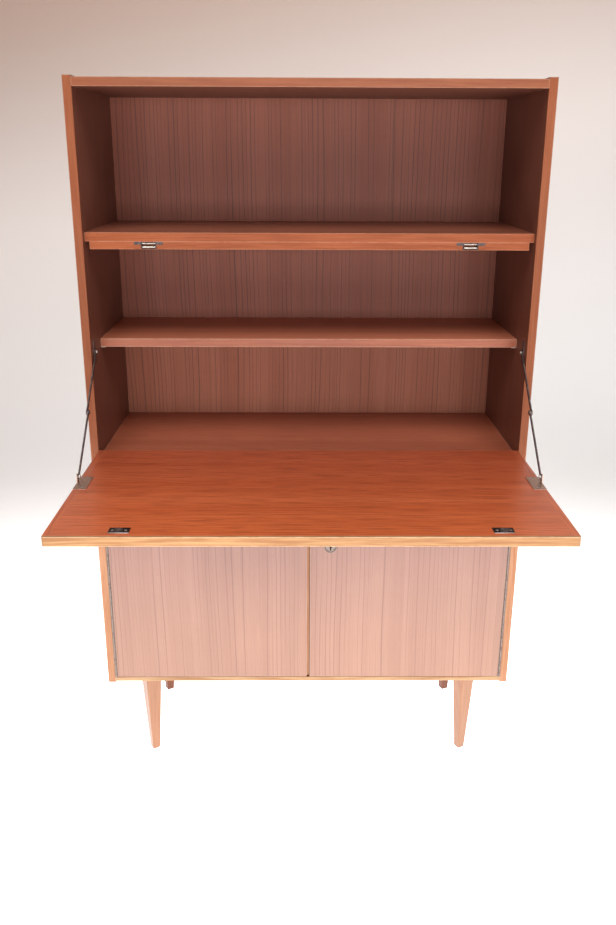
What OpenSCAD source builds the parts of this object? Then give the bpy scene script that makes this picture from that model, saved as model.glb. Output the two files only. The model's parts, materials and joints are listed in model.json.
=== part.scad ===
// Secretary desk: open shelf on top, fall-front writing flap on folding stays, two-door cupboard below,
// four tapered screw-in legs. Millimetres, +Z up, -Y towards the user, origin on the floor at the
// centre of the whole box with the flap let down.

/* [Carcass] */
// width over the two side panels
carcass_width = 900; // [840:10:1000]
// height of the side panels, without the legs
side_height = 1264; // [1240:2:1300]
// depth from the front plane to the back of the carcass
carcass_depth = 356; // [330:2:380]
// thickness of the side, top, bottom and desk boards
board_t = 16; // [15:1:18]
// thickness of the back panel
back_t = 6; // [4:1:8]
// depth of the solid lipping on the front edges
lipping_t = 3; // [2:1:5]
// how far the top board sits below the side panels' ends, and the bottom board above them
end_step = 3; // [2:1:6]

/* [Shelves] */
// top face of the upper shelf above the side panels' bottom ends
upper_shelf_z = 986; // [980:1:990]
// setback of the upper shelf behind the front plane
upper_shelf_setback = 17.5; // [17.5:0.5:22]
// top face of the middle shelf above the side panels' bottom ends
middle_shelf_z = 766; // [764:1:780]
// setback of the middle shelf behind the front plane
middle_shelf_setback = 89; // [80:1:120]
// thickness of the two upper shelves
shelf_t = 17; // [15:1:18]
// height of the batten below the upper shelf
batten_h = 14.5; // [14:0.5:15.5]
// depth of that batten
batten_d = 20; // [18:1:30]
// top face of the shelf inside the cupboard above the side panels' bottom ends
lower_shelf_z = 284; // [250:1:300]
// setback of the shelf inside the cupboard
lower_shelf_setback = 60; // [50:1:90]

/* [Flap] */
// top face of the desk board above the side panels' bottom ends
desk_z = 534; // [530:1:538]
// reach of the open flap in front of the front plane
flap_reach = 446; // [444:1:448]
// thickness of the flap
flap_t = 16.5; // [16:0.5:17]
// gap between each end of the flap and the side panel
flap_gap = 2; // [2:0.5:3]
// width of the solid strips at the flap's two ends
flap_end_w = 10; // [6:1:14]
// depth of the strip along the flap's front edge
flap_front_depth = 5; // [3:1:8]
// distance of the two strikes and roller catches from the middle
catch_x = 312; // [280:1:330]

/* [Doors] */
// thickness of the doors
door_t = 16; // [15:1:17]
// gap between the two doors
door_gap = 6.4; // [6:0.2:7]
// height of the lip of the bottom board below the doors
door_lip = 10; // [8:1:12]
// height of the keyhole above the side panels' bottom ends
keyhole_z = 333; // [300:1:360]
// distance of the keyhole from the middle
keyhole_x = 47; // [42:1:50]

/* [Legs] */
// height of the side panels' bottom ends above the floor
leg_height = 210; // [150:5:260]
// width of the square leg at its top
leg_top = 38; // [32:1:44]
// width of the square leg at the floor
leg_foot = 17.5; // [14:0.5:24]
// distance of the leg axes from the middle
leg_x = 363; // [340:1:380]
// distance of the front leg axes behind the front plane
leg_front_y = 53; // [45:1:70]
// distance of the rear leg axes behind the front plane
leg_rear_y = 303; // [280:1:310]

/* [Part to show] */
// one named part, or all of them

/* [Hidden] */

$fn = 48;
eps = 0.01;

// colours
wood_side = [0.45, 0.25, 0.17];
wood_edge = [0.80, 0.48, 0.34];
wood_flap = [0.72, 0.36, 0.20];
wood_strip = [0.62, 0.28, 0.17];
wood_back = [0.52, 0.30, 0.24];
wood_door = [0.86, 0.66, 0.56];
wood_lip = [0.90, 0.72, 0.56];
wood_leg = [0.90, 0.66, 0.48];
steel_dark = [0.25, 0.23, 0.22];
steel_light = [0.72, 0.70, 0.67];
steel_aged = [0.42, 0.38, 0.36];
brass_dull = [0.55, 0.42, 0.30];

// clearances: radial running fit, gap between moving neighbours, dry joint round a dowel or screw,
// spare depth of a blind hole, gap round a loose shelf
run_fit = 0.05;
move_gap = 0.3;
dry_fit = 0.05;
hole_spare = 0.2;
loose_gap = 0.5;
// how far a cutting shape reaches past the piece that it cuts
over = 1;

// reference planes
front_y = (flap_reach - carcass_depth) / 2;
back_face_y = front_y + carcass_depth - back_t;
side_x = carcass_width / 2;
inner_x = side_x - board_t;
base_z = leg_height;
bottom_z = base_z + end_step;
top_z = base_z + side_height - end_step - board_t;
desk_top = base_z + desk_z;
upper_top = base_z + upper_shelf_z;
middle_top = base_z + middle_shelf_z;
lower_top = base_z + lower_shelf_z;
upper_y = front_y + upper_shelf_setback;
middle_y = front_y + middle_shelf_setback;
lower_y = front_y + lower_shelf_setback;

// flap hinge: axis in the front plane, half the leaf gap above the desk board
flap_leaf_gap = 3.6;
flap_axis_z = desk_top + flap_leaf_gap / 2;
flap_knuckle_r = 1.5;
flap_pin_r = 0.8;
flap_leaf_t = 0.6;
flap_leaf_w = 14;
flap_pitch = 24;
flap_half = inner_x - flap_gap;
flap_leaf_half = flap_half - 1;
flap_screw_step = flap_half / 3.6;
flap_screw_in = 8.4;
flap_rear_y = front_y - flap_leaf_gap / 2;
flap_top = flap_axis_z + board_t;
flap_front_y = front_y - flap_reach;
flap_corner_r = min(4, flap_front_depth - 0.5);

// door hinges: axis in front of the doors, half the leaf gap inside the side panel
door_leaf_gap = 5.2;
door_axis_y = front_y - 1.5;
door_axis_x = inner_x - door_leaf_gap / 2;
door_knuckle_r = 2.3;
door_pin_r = 1.2;
door_leaf_t = 0.8;
door_leaf_w = 15.5;
door_pitch = 20;
door_out_x = inner_x - door_leaf_gap;
door_z0 = bottom_z + door_lip + 1;
door_z1 = desk_top - board_t - 1.5;
rebate_y = front_y + door_t + 2;
door_screw_y = door_axis_y + 10.5;
side_screw_inset = 50;
door_screw_inset = 40;
meeting_y = front_y + 5;
meeting_d = 8;
meeting_clear = 1;
// gap between a hinge's knuckles and its leaves
leaf_clear = 0.4;

// folding stays: pivots in the plane of the side, links in two neighbouring planes
stay_upper_y = front_y + 32;
stay_upper_z = base_z + 750;
stay_lower_y = front_y - 195;
stay_lower_z = flap_top + 12.2;
stay_run_y = stay_lower_y - stay_upper_y;
stay_run_z = stay_lower_z - stay_upper_z;
stay_total = sqrt(stay_run_y * stay_run_y + stay_run_z * stay_run_z);
stay_angle = atan2(stay_run_z, stay_run_y);
upper_link_len = stay_total * 0.507;
lower_link_len = stay_total - upper_link_len;
knuckle_y = stay_upper_y + upper_link_len * cos(stay_angle);
knuckle_z = stay_upper_z + upper_link_len * sin(stay_angle);
plate_t = 1.2;
link_t = 2.2;
link_w = 6.5;
link_eye_r = 5.2;
link_gap = 0.5;
pivot_r = 2;
rivet_head_r = 4;
rivet_head_t = 1.4;
knuckle_head_t = 2.2;
knuckle_nose_r = 2.8;
upper_link_x = inner_x - plate_t - 0.4 - link_t;
lower_link_x = upper_link_x - link_gap - link_t;
lug_t = 1.8;
lug_x = lower_link_x + link_t + link_gap;
stay_base_w = 24;
stay_base_y0 = stay_lower_y - 36;
stay_base_y1 = stay_lower_y + 29;
stay_base_screw_in = 8;
stay_base_screw_x = flap_half - stay_base_w / 2 - 3;
stay_plate_w = 14;
stay_plate_z0 = stay_upper_z - 22;
stay_plate_z1 = stay_upper_z + 24;
stay_plate_screw_in = 7;

// roller catches: strike tongue on the flap meets the gap between two rollers when the flap is shut
batten_half = inner_x - 8.5;
batten_z = upper_top - shelf_t - batten_h;
catch_z = batten_z + batten_h / 2;
strike_y = front_y - (catch_z - flap_axis_z);
roller_r = 2.4;
roller_len = 24;
roller_axle_r = 0.9;
roller_offset = 3.8;
roller_y = upper_y + 5;
frame_w = 56;
frame_h = 13.2;
ear_h = 5;
ear_screw_r = 1.1;
ear_head_r = 2;
frame_t = 1;
window_w = 26;
window_h = 12.4;
cheek_d = 9;
recess_spare = 3;
catch_screw_dx = 22.5;
strike_w = 34;
strike_d = 21;
strike_shift = 6;
strike_t = 1;
tongue_w = 14;
tongue_t = 1;
tongue_h = 7.5;
strike_screw_dx = 11;

// lock: case behind the right door, bolt slides towards the left door
lock_z = base_z + keyhole_z;
lock_y = front_y + door_t;
lock_x0 = door_gap / 2 + 2.8;
lock_w = 60;
lock_h = 46;
lock_d = 11;
bolt_x0 = door_gap / 2 + 0.3;
bolt_len = 38;
bolt_h = 16;
bolt_d = 6;
bolt_y = lock_y + 2.2;
bolt_z = lock_z + 8;
keeper_w = 20;
keeper_h = 30;
keeper_pocket = 8;
escutcheon_r = 13;
escutcheon_t = 1.2;
key_r = 2.6;
key_slot_w = 2.4;
key_slot_h = 8;
key_clear = 0.4;
key_in_case = 2;

// fasteners
dowel_r = 4;
dowel_in_side = 11;
dowel_in_board = 21;
dowel_ys = [front_y + 45, front_y + 175, front_y + 305];
pin_r = 2.5;
pin_in = 9;
pin_out = 8;
pin_from_front = 12;
pin_from_back = 40;
screw_r = 1.4;
screw_head_r = 2.6;
screw_len = 11;
back_screw_r = 1.5;
back_screw_head_r = 3.2;
back_screw_len = 18;
back_screw_step = (inner_x - 40) / 2;
leg_plate_w = 56;
leg_plate_t = 2;
leg_plate_screw = 21;
stud_r = 4;
stud_len = 40;
stud_in_board = 12;
stud_z0 = bottom_z + stud_in_board - stud_len;
leg_len = bottom_z - leg_plate_t;
// every leg is screwed home to its own angle: x sign, y, turn
leg_places = [[-1, leg_front_y, 31], [1, leg_front_y, 28], [-1, leg_rear_y, 30], [1, leg_rear_y, 24]];

// ---- helpers ----

// a box from one corner to the opposite one
module block(lo, hi) {
  translate(lo) cube(hi - lo);
}

// build on the right, or mirrored on the left
module on_side(s) {
  mirror([s < 0 ? 1 : 0, 0, 0]) children();
}

// local XY becomes world YZ, local Z becomes world X, turned by a in that plane
module in_yz(x, y, z, a = 0) {
  translate([x, y, z]) rotate([90, 0, 90]) rotate([0, 0, a]) children();
}

// cylinder along +X from x
module rod_x(x, y, z, r, len) {
  translate([x, y, z]) rotate([0, 90, 0]) cylinder(r = r, h = len);
}

// cylinder along +Y from y
module rod_y(x, y, z, r, len) {
  translate([x, y, z]) rotate([-90, 0, 0]) cylinder(r = r, h = len);
}

// countersunk screw, its flat head at the origin and its shank along -Z
module screw(r, head_r, len) {
  translate([0, 0, -len]) cylinder(r = r, h = len);
  translate([0, 0, -(head_r - r)]) cylinder(r1 = r, r2 = head_r, h = head_r - r);
}

// the space a screw needs
module screw_space(r, head_r, len) {
  translate([0, 0, -len - dry_fit]) cylinder(r = r + dry_fit, h = len + dry_fit);
  translate([0, 0, -(head_r - r) - dry_fit])
    cylinder(r1 = r + dry_fit, r2 = head_r + 2 * dry_fit, h = head_r - r + dry_fit + eps);
}

// one leaf of a piano hinge: axis along local Z, leaf along +Y with its face from x0 to x0 + t;
// odd = 0 or 1 picks every other knuckle
module hinge_leaf(len, pitch, knuckle_r, bore_r, x0, t, w, odd) {
  count = floor(len / pitch);
  cell = len / count;
  leaf_y = knuckle_r + leaf_clear;
  difference() {
    union() {
      translate([x0, leaf_y, 0]) cube([t, w - leaf_y, len]);
      for (i = [odd : 2 : count - 1])
        translate([0, 0, i * cell + move_gap / 2]) {
          cylinder(r = knuckle_r, h = cell - move_gap);
          translate([x0, 0, 0]) cube([t, w / 2, cell - move_gap]);
        }
    }
    translate([0, 0, -over]) cylinder(r = bore_r, h = len + 2 * over);
  }
}

// flat bar with an eye at both ends, from the origin along +X, z from 0 to t
module link_bar(len, hole_a, hole_b) {
  difference() {
    union() {
      cylinder(r = link_eye_r, h = link_t);
      translate([len, 0, 0]) cylinder(r = link_eye_r, h = link_t);
      translate([0, -link_w / 2, 0]) cube([len, link_w, link_t]);
    }
    translate([0, 0, -over]) cylinder(r = hole_a, h = link_t + 2 * over);
    translate([len, 0, -over]) cylinder(r = hole_b, h = link_t + 2 * over);
  }
}

// ---- positions shared by holes and by the pieces in them ----

module at_dowels(s) {
  for (z = [bottom_z, desk_top - board_t, upper_top - shelf_t, top_z])
    for (y = dowel_ys)
      translate([s * inner_x, y, z + board_t / 2]) children();
}

module at_shelf_pins(s) {
  for (shelf = [[middle_y, middle_top - shelf_t], [lower_y, lower_top - board_t]])
    for (y = [shelf[0] + pin_from_front, back_face_y - pin_from_back])
      translate([s * inner_x, y, shelf[1] - pin_r]) children();
}

module at_back_screws() {
  for (z = [bottom_z + board_t / 2, desk_top - board_t / 2, upper_top - shelf_t / 2, top_z + board_t / 2])
    for (i = [-2 : 2])
      translate([i * back_screw_step, back_face_y + back_t, z]) rotate([-90, 0, 0]) children();
}

module at_legs() {
  for (p = leg_places)
    translate([p[0] * leg_x, front_y + p[1], 0]) rotate([0, 0, p[2]]) children();
}

module at_plate_screws() {
  at_legs()
    for (i = [-1, 1])
      for (j = [-1, 1])
        translate([i * leg_plate_screw, j * leg_plate_screw, leg_len]) rotate([180, 0, 0]) children();
}

module at_catch_screws() {
  for (s = [-1, 1])
    for (i = [-1, 1])
      translate([s * catch_x + i * catch_screw_dx, upper_y, catch_z + frame_h / 2 - ear_h / 2])
        rotate([90, 0, 0]) children();
}

module at_strike_screws() {
  for (s = [-1, 1])
    for (i = [-1, 1])
      translate([s * catch_x + i * strike_screw_dx, strike_y + strike_shift, flap_top + strike_t]) children();
}

module at_stay_base_screws() {
  for (s = [-1, 1])
    for (y = [stay_base_y0 + stay_base_screw_in, stay_base_y1 - stay_base_screw_in])
      translate([s * stay_base_screw_x, y, flap_top + plate_t]) children();
}

module at_stay_plate_screws(s) {
  for (z = [stay_plate_z0 + stay_plate_screw_in, stay_plate_z1 - stay_plate_screw_in])
    translate([s * (inner_x - plate_t), stay_upper_y, z]) rotate([0, -s * 90, 0]) children();
}

module at_desk_leaf_screws() {
  for (i = [-3 : 3])
    translate([i * flap_screw_step, front_y + flap_screw_in, desk_top + flap_leaf_t]) children();
}

module at_flap_leaf_screws() {
  for (i = [-3 : 3])
    translate([i * flap_screw_step, flap_rear_y + flap_leaf_t, flap_axis_z + flap_screw_in])
      rotate([-90, 0, 0]) children();
}

// height of the i-th of five screws in a door hinge's leaf, the end ones inset from its ends
function door_screw_z(i, inset) = door_z0 + inset + i * (door_z1 - door_z0 - 2 * inset) / 4;

module at_side_leaf_screws(s) {
  for (i = [0 : 4])
    translate([s * (inner_x - door_leaf_t), door_screw_y, door_screw_z(i, side_screw_inset)])
      rotate([0, -s * 90, 0]) children();
}

module at_door_leaf_screws(s) {
  for (i = [0 : 4])
    translate([s * (door_out_x + door_leaf_t), door_screw_y, door_screw_z(i, door_screw_inset)])
      rotate([0, s * 90, 0]) children();
}

module small_space() {
  screw_space(screw_r, screw_head_r, screw_len);
}

module small_screw() {
  screw(screw_r, screw_head_r, screw_len);
}

// ---- carcass ----

// blind hole from the local origin into the side panel on side s
module side_hole(s, r, depth) {
  rod_x(s < 0 ? -depth - hole_spare : -eps, 0, 0, r + dry_fit, depth + hole_spare + eps);
}

module side_panel(s) {
  color(wood_side) difference() {
    on_side(s) block([inner_x, front_y + lipping_t, base_z],
                     [side_x, front_y + carcass_depth, base_z + side_height]);
    on_side(s) block([inner_x - over, back_face_y, base_z - over],
                     [inner_x + board_t / 2, front_y + carcass_depth + over, base_z + side_height + over]);
    at_dowels(s) side_hole(s, dowel_r, dowel_in_side);
    at_shelf_pins(s) side_hole(s, pin_r, pin_in);
    at_side_leaf_screws(s) small_space();
    at_stay_plate_screws(s) small_space();
  }
}

module side_panel_left() {
  side_panel(-1);
}

module side_panel_right() {
  side_panel(1);
}

module side_lippings() {
  for (s = [-1, 1])
    color(wood_edge) on_side(s)
      block([inner_x, front_y, base_z], [side_x, front_y + lipping_t, base_z + side_height]);
}

// the holes for dowels in both ends of a board
module board_dowel_holes(z) {
  for (s = [-1, 1])
    for (y = dowel_ys)
      rod_x(s < 0 ? -inner_x - eps : inner_x - dowel_in_board - hole_spare, y, z,
            dowel_r + dry_fit, dowel_in_board + hole_spare + eps);
}

module top_panel() {
  color(wood_edge) difference() {
    block([-inner_x, front_y, top_z], [inner_x, back_face_y, top_z + board_t]);
    board_dowel_holes(top_z + board_t / 2);
    at_back_screws() screw_space(back_screw_r, back_screw_head_r, back_screw_len);
  }
}

// hole for a leg's stud, from below its plate up to z
module stud_hole(z) {
  translate([0, 0, leg_len - over]) cylinder(r = stud_r + dry_fit, h = z - leg_len + over);
}

module bottom_panel() {
  color(wood_lip) difference() {
    block([-inner_x, front_y, bottom_z], [inner_x, back_face_y, bottom_z + board_t]);
    block([-inner_x - over, front_y - over, bottom_z + door_lip],
          [inner_x + over, rebate_y, bottom_z + board_t + over]);
    board_dowel_holes(bottom_z + board_t / 2);
    at_back_screws() screw_space(back_screw_r, back_screw_head_r, back_screw_len);
    at_legs() stud_hole(bottom_z + stud_in_board + hole_spare);
    at_plate_screws() small_space();
  }
}

module desk_floor() {
  color(wood_flap) difference() {
    block([-inner_x, front_y, desk_top - board_t], [inner_x, back_face_y, desk_top]);
    board_dowel_holes(desk_top - board_t / 2);
    at_back_screws() screw_space(back_screw_r, back_screw_head_r, back_screw_len);
    at_desk_leaf_screws() small_space();
  }
}

module back_panel() {
  half = inner_x + board_t / 2 - loose_gap;
  color(wood_back) difference() {
    block([-half, back_face_y, bottom_z], [half, back_face_y + back_t, top_z + board_t]);
    at_back_screws() screw_space(back_screw_r, back_screw_head_r, back_screw_len);
  }
}

module upper_shelf() {
  color(wood_flap) difference() {
    block([-inner_x, upper_y + lipping_t, upper_top - shelf_t], [inner_x, back_face_y, upper_top]);
    board_dowel_holes(upper_top - shelf_t + board_t / 2);
    at_back_screws() screw_space(back_screw_r, back_screw_head_r, back_screw_len);
  }
}

module upper_shelf_lipping() {
  color(wood_edge) block([-inner_x, upper_y, upper_top - shelf_t],
                         [inner_x, upper_y + lipping_t, upper_top]);
}

module catch_batten() {
  color(wood_edge) difference() {
    block([-batten_half, upper_y, batten_z], [batten_half, upper_y + batten_d, batten_z + batten_h]);
    for (s = [-1, 1])
      translate([s * catch_x, upper_y, catch_z]) {
        block([-frame_w / 2, -over, -frame_h / 2], [frame_w / 2, frame_t, frame_h / 2]);
        block([-window_w / 2 - 2 * frame_t, -over, -frame_h / 2],
              [window_w / 2 + 2 * frame_t, frame_t + cheek_d + recess_spare, frame_h / 2]);
      }
    at_catch_screws() screw_space(ear_screw_r, ear_head_r, screw_len);
  }
}

module middle_shelf() {
  color(wood_flap)
    block([-inner_x + loose_gap, middle_y + lipping_t, middle_top - shelf_t],
          [inner_x - loose_gap, back_face_y - loose_gap, middle_top]);
}

module middle_shelf_lipping() {
  color(wood_edge)
    block([-inner_x + loose_gap, middle_y, middle_top - shelf_t],
          [inner_x - loose_gap, middle_y + lipping_t, middle_top]);
}

module lower_shelf() {
  color(wood_side)
    block([-inner_x + loose_gap, lower_y, lower_top - board_t],
          [inner_x - loose_gap, back_face_y - loose_gap, lower_top]);
}

module shelf_pins() {
  for (s = [-1, 1])
    color(steel_light) at_shelf_pins(s)
      rod_x(s < 0 ? -pin_in : -pin_out, 0, 0, pin_r, pin_in + pin_out);
}

module carcass_dowels() {
  for (s = [-1, 1])
    color(wood_lip) at_dowels(s)
      rod_x(s < 0 ? -dowel_in_side : -dowel_in_board, 0, 0, dowel_r, dowel_in_side + dowel_in_board);
}

module back_screws() {
  color(steel_light) at_back_screws() screw(back_screw_r, back_screw_head_r, back_screw_len);
}

// ---- legs ----

// square leg with eased arrises, turned to its own angle
module leg(p) {
  half = leg_foot / 2;
  ease = 1.2;
  color(wood_leg) difference() {
    translate([p[0] * leg_x, front_y + p[1], 0]) rotate([0, 0, p[2]])
      linear_extrude(height = leg_len, scale = leg_top / leg_foot)
        polygon([[half - ease, -half], [half, -half + ease], [half, half - ease], [half - ease, half],
                 [-half + ease, half], [-half, half - ease], [-half, -half + ease], [-half + ease, -half]]);
    translate([p[0] * leg_x, front_y + p[1], stud_z0 - hole_spare])
      cylinder(r = stud_r + dry_fit, h = stud_len);
  }
}

module leg_front_left() {
  leg(leg_places[0]);
}

module leg_front_right() {
  leg(leg_places[1]);
}

module leg_rear_left() {
  leg(leg_places[2]);
}

module leg_rear_right() {
  leg(leg_places[3]);
}

module leg_plates() {
  color(steel_light) difference() {
    at_legs() block([-leg_plate_w / 2, -leg_plate_w / 2, leg_len],
                    [leg_plate_w / 2, leg_plate_w / 2, bottom_z]);
    at_legs() stud_hole(bottom_z + over);
    at_plate_screws() small_space();
  }
}

module leg_studs() {
  color(steel_light) at_legs()
    translate([0, 0, stud_z0]) cylinder(r = stud_r, h = stud_len);
}

// ---- folding stays ----

module stay_brackets() {
  color(steel_dark) difference() {
    for (s = [-1, 1])
      on_side(s)
        block([inner_x - plate_t, stay_upper_y - stay_plate_w / 2, stay_plate_z0],
              [inner_x, stay_upper_y + stay_plate_w / 2, stay_plate_z1]);
    for (s = [-1, 1]) {
      on_side(s)
        rod_x(inner_x - plate_t - over, stay_upper_y, stay_upper_z, pivot_r + dry_fit, plate_t + 2 * over);
      at_stay_plate_screws(s) small_space();
    }
  }
}

module stay_upper_rivets() {
  head_x = upper_link_x - move_gap - rivet_head_t;
  for (s = [-1, 1])
    color(steel_light) on_side(s) {
      rod_x(head_x, stay_upper_y, stay_upper_z, pivot_r, inner_x - head_x);
      rod_x(head_x, stay_upper_y, stay_upper_z, rivet_head_r, rivet_head_t);
    }
}

module upper_link(s) {
  color(steel_dark) on_side(s) in_yz(upper_link_x, stay_upper_y, stay_upper_z, stay_angle)
    link_bar(upper_link_len, pivot_r + run_fit, pivot_r);
}

module upper_link_left() {
  upper_link(-1);
}

module upper_link_right() {
  upper_link(1);
}

module lower_link(s) {
  color(steel_dark) on_side(s) in_yz(lower_link_x, stay_lower_y, stay_lower_z, stay_angle + 180)
    link_bar(lower_link_len, pivot_r + run_fit, pivot_r + dry_fit);
}

module lower_link_left() {
  lower_link(-1);
}

module lower_link_right() {
  lower_link(1);
}

// the knuckle is held in the lower link: a shank in its eye and a round head on the inner side
module knuckle_rivet(s) {
  color(steel_dark) on_side(s) {
    rod_x(lower_link_x - knuckle_head_t, knuckle_y, knuckle_z, pivot_r, link_t + knuckle_head_t);
    translate([lower_link_x - knuckle_head_t, knuckle_y, knuckle_z]) rotate([0, 90, 0])
      cylinder(r1 = knuckle_nose_r, r2 = rivet_head_r, h = knuckle_head_t);
  }
}

module knuckle_rivet_left() {
  knuckle_rivet(-1);
}

module knuckle_rivet_right() {
  knuckle_rivet(1);
}

module flap_stay_brackets() {
  color(brass_dull) difference() {
    for (s = [-1, 1])
      on_side(s) {
        block([flap_half - stay_base_w, stay_base_y0, flap_top],
              [flap_half, stay_base_y1, flap_top + plate_t]);
        block([lug_x, stay_lower_y - link_eye_r, flap_top],
              [lug_x + lug_t, stay_lower_y + link_eye_r, stay_lower_z]);
        rod_x(lug_x, stay_lower_y, stay_lower_z, link_eye_r, lug_t);
      }
    for (s = [-1, 1])
      on_side(s) rod_x(lug_x - over, stay_lower_y, stay_lower_z, pivot_r + dry_fit, lug_t + 2 * over);
    at_stay_base_screws() small_space();
  }
}

module flap_stay_rivets() {
  head_x = lower_link_x - move_gap - rivet_head_t;
  for (s = [-1, 1])
    color(steel_light) on_side(s) {
      rod_x(head_x, stay_lower_y, stay_lower_z, pivot_r, lug_x + lug_t - head_x);
      rod_x(head_x, stay_lower_y, stay_lower_z, rivet_head_r, rivet_head_t);
    }
}

// ---- roller catches ----

module catch_frames() {
  color(steel_dark) difference() {
    for (s = [-1, 1])
      translate([s * catch_x, upper_y, catch_z]) {
        block([-window_w / 2 - frame_t, 0, -frame_h / 2], [window_w / 2 + frame_t, frame_t, frame_h / 2]);
        block([-frame_w / 2, 0, frame_h / 2 - ear_h], [frame_w / 2, frame_t, frame_h / 2]);
        for (i = [-1, 1])
          translate([i * (window_w + frame_t) / 2, 0, 0])
            block([-frame_t / 2, 0, -frame_h / 2], [frame_t / 2, frame_t + cheek_d, frame_h / 2]);
      }
    for (s = [-1, 1])
      translate([s * catch_x, upper_y, catch_z]) {
        block([-window_w / 2, -over, -window_h / 2], [window_w / 2, frame_t + over, window_h / 2]);
        for (i = [-1, 1])
          rod_x(-window_w, roller_y - upper_y, i * roller_offset, roller_axle_r + run_fit, 2 * window_w);
      }
    at_catch_screws() screw_space(ear_screw_r, ear_head_r, screw_len);
  }
}

// a roller with its two axle ends
module roller(s, up) {
  color(steel_light) {
    rod_x(s * catch_x - roller_len / 2, roller_y, catch_z + up * roller_offset, roller_r, roller_len);
    rod_x(s * catch_x - window_w / 2 - frame_t, roller_y, catch_z + up * roller_offset,
          roller_axle_r, window_w + 2 * frame_t);
  }
}

module roller_left_upper() {
  roller(-1, 1);
}

module roller_left_lower() {
  roller(-1, -1);
}

module roller_right_upper() {
  roller(1, 1);
}

module roller_right_lower() {
  roller(1, -1);
}

module carcass_screws() {
  color(steel_light) {
    at_plate_screws() small_screw();
    at_catch_screws() screw(ear_screw_r, ear_head_r, screw_len);
    at_desk_leaf_screws() small_screw();
    for (s = [-1, 1]) {
      at_side_leaf_screws(s) small_screw();
      at_stay_plate_screws(s) small_screw();
    }
  }
}

// ---- flap ----

module flap_hinge_fixed_leaf() {
  color(steel_light) difference() {
    translate([-flap_leaf_half, front_y, flap_axis_z]) rotate([0, 90, 0])
      hinge_leaf(2 * flap_leaf_half, flap_pitch, flap_knuckle_r, flap_pin_r + run_fit,
                 flap_leaf_gap / 2 - flap_leaf_t, flap_leaf_t, flap_leaf_w, 0);
    at_desk_leaf_screws() small_space();
  }
}

module flap_hinge_pin() {
  color(steel_light) rod_x(-flap_leaf_half, front_y, flap_axis_z, flap_pin_r, 2 * flap_leaf_half);
}

module flap_hinge_leaf() {
  color(steel_light) difference() {
    translate([-flap_leaf_half, front_y, flap_axis_z]) rotate([90, 0, 0]) rotate([0, 90, 0])
      hinge_leaf(2 * flap_leaf_half, flap_pitch, flap_knuckle_r, flap_pin_r + run_fit,
                 -flap_leaf_gap / 2, flap_leaf_t, flap_leaf_w, 1);
    at_flap_leaf_screws() small_space();
  }
}

module flap_panel() {
  half = flap_half - flap_end_w;
  color(wood_flap) difference() {
    block([-half, flap_front_y + flap_front_depth, flap_top - flap_t], [half, flap_rear_y, flap_top]);
    at_flap_leaf_screws() small_space();
    at_strike_screws() small_space();
    at_stay_base_screws() small_space();
  }
}

module flap_end_strips() {
  for (s = [-1, 1])
    color(wood_strip) on_side(s)
      block([flap_half - flap_end_w, flap_front_y + flap_front_depth, flap_top - flap_t],
            [flap_half, flap_rear_y, flap_top]);
}

// strip along the flap's front edge, its two outer corners rounded
module flap_front_strip() {
  r = flap_corner_r;
  color(wood_lip) translate([0, flap_front_y, flap_top - flap_t])
    linear_extrude(height = flap_t) intersection() {
      translate([-flap_half, 0]) square([2 * flap_half, flap_front_depth]);
      union() {
        translate([-flap_half, r]) square([2 * flap_half, flap_front_depth]);
        translate([-flap_half + r, 0]) square([2 * (flap_half - r), flap_front_depth]);
        for (s = [-1, 1])
          translate([s * (flap_half - r), r]) circle(r = r);
      }
    }
}

module strike_plates() {
  color(steel_light) difference() {
    for (s = [-1, 1])
      translate([s * catch_x, strike_y, flap_top]) {
        translate([0, strike_shift, 0])
          block([-strike_w / 2, -strike_d / 2, 0], [strike_w / 2, strike_d / 2, strike_t]);
        block([-tongue_w / 2, -tongue_t / 2, 0], [tongue_w / 2, tongue_t / 2, tongue_h]);
      }
    at_strike_screws() small_space();
  }
}

module flap_screws() {
  color(steel_light) {
    at_flap_leaf_screws() small_screw();
    at_strike_screws() small_screw();
    at_stay_base_screws() small_screw();
  }
}

// ---- doors ----

module door_hinge_fixed_leaves() {
  color(steel_aged) difference() {
    for (s = [-1, 1])
      on_side(s) translate([door_axis_x, door_axis_y, door_z0])
        hinge_leaf(door_z1 - door_z0, door_pitch, door_knuckle_r, door_pin_r + run_fit,
                   door_leaf_gap / 2 - door_leaf_t, door_leaf_t, door_leaf_w, 0);
    for (s = [-1, 1])
      at_side_leaf_screws(s) small_space();
  }
}

module door_hinge_pins() {
  for (s = [-1, 1])
    color(steel_light)
      translate([s * door_axis_x, door_axis_y, door_z0]) cylinder(r = door_pin_r, h = door_z1 - door_z0);
}

module door_leaf(s) {
  color(steel_aged) difference() {
    on_side(s) translate([door_axis_x, door_axis_y, door_z0])
      hinge_leaf(door_z1 - door_z0, door_pitch, door_knuckle_r, door_pin_r + run_fit,
                 -door_leaf_gap / 2, door_leaf_t, door_leaf_w, 1);
    at_door_leaf_screws(s) small_space();
  }
}

module door_leaf_left() {
  door_leaf(-1);
}

module door_leaf_right() {
  door_leaf(1);
}

module door_board(s) {
  difference() {
    on_side(s) block([door_gap / 2, front_y, door_z0], [door_out_x, front_y + door_t, door_z1]);
    at_door_leaf_screws(s) small_space();
  }
}

module door_left_panel() {
  color(wood_door) door_board(-1);
}

// keyhole outline through the door, the escutcheon and the lock's front
module keyhole(y0, y1, grow) {
  rod_y(keyhole_x, y0, lock_z, key_r + grow, y1 - y0);
  block([keyhole_x - key_slot_w / 2 - grow, y0, lock_z - key_slot_h - grow],
        [keyhole_x + key_slot_w / 2 + grow, y1, lock_z]);
}

module door_right_panel() {
  color(wood_door) difference() {
    door_board(1);
    keyhole(front_y - over, front_y + door_t + over, key_clear);
  }
}

module door_screws_left() {
  color(steel_light) at_door_leaf_screws(-1) small_screw();
}

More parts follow.
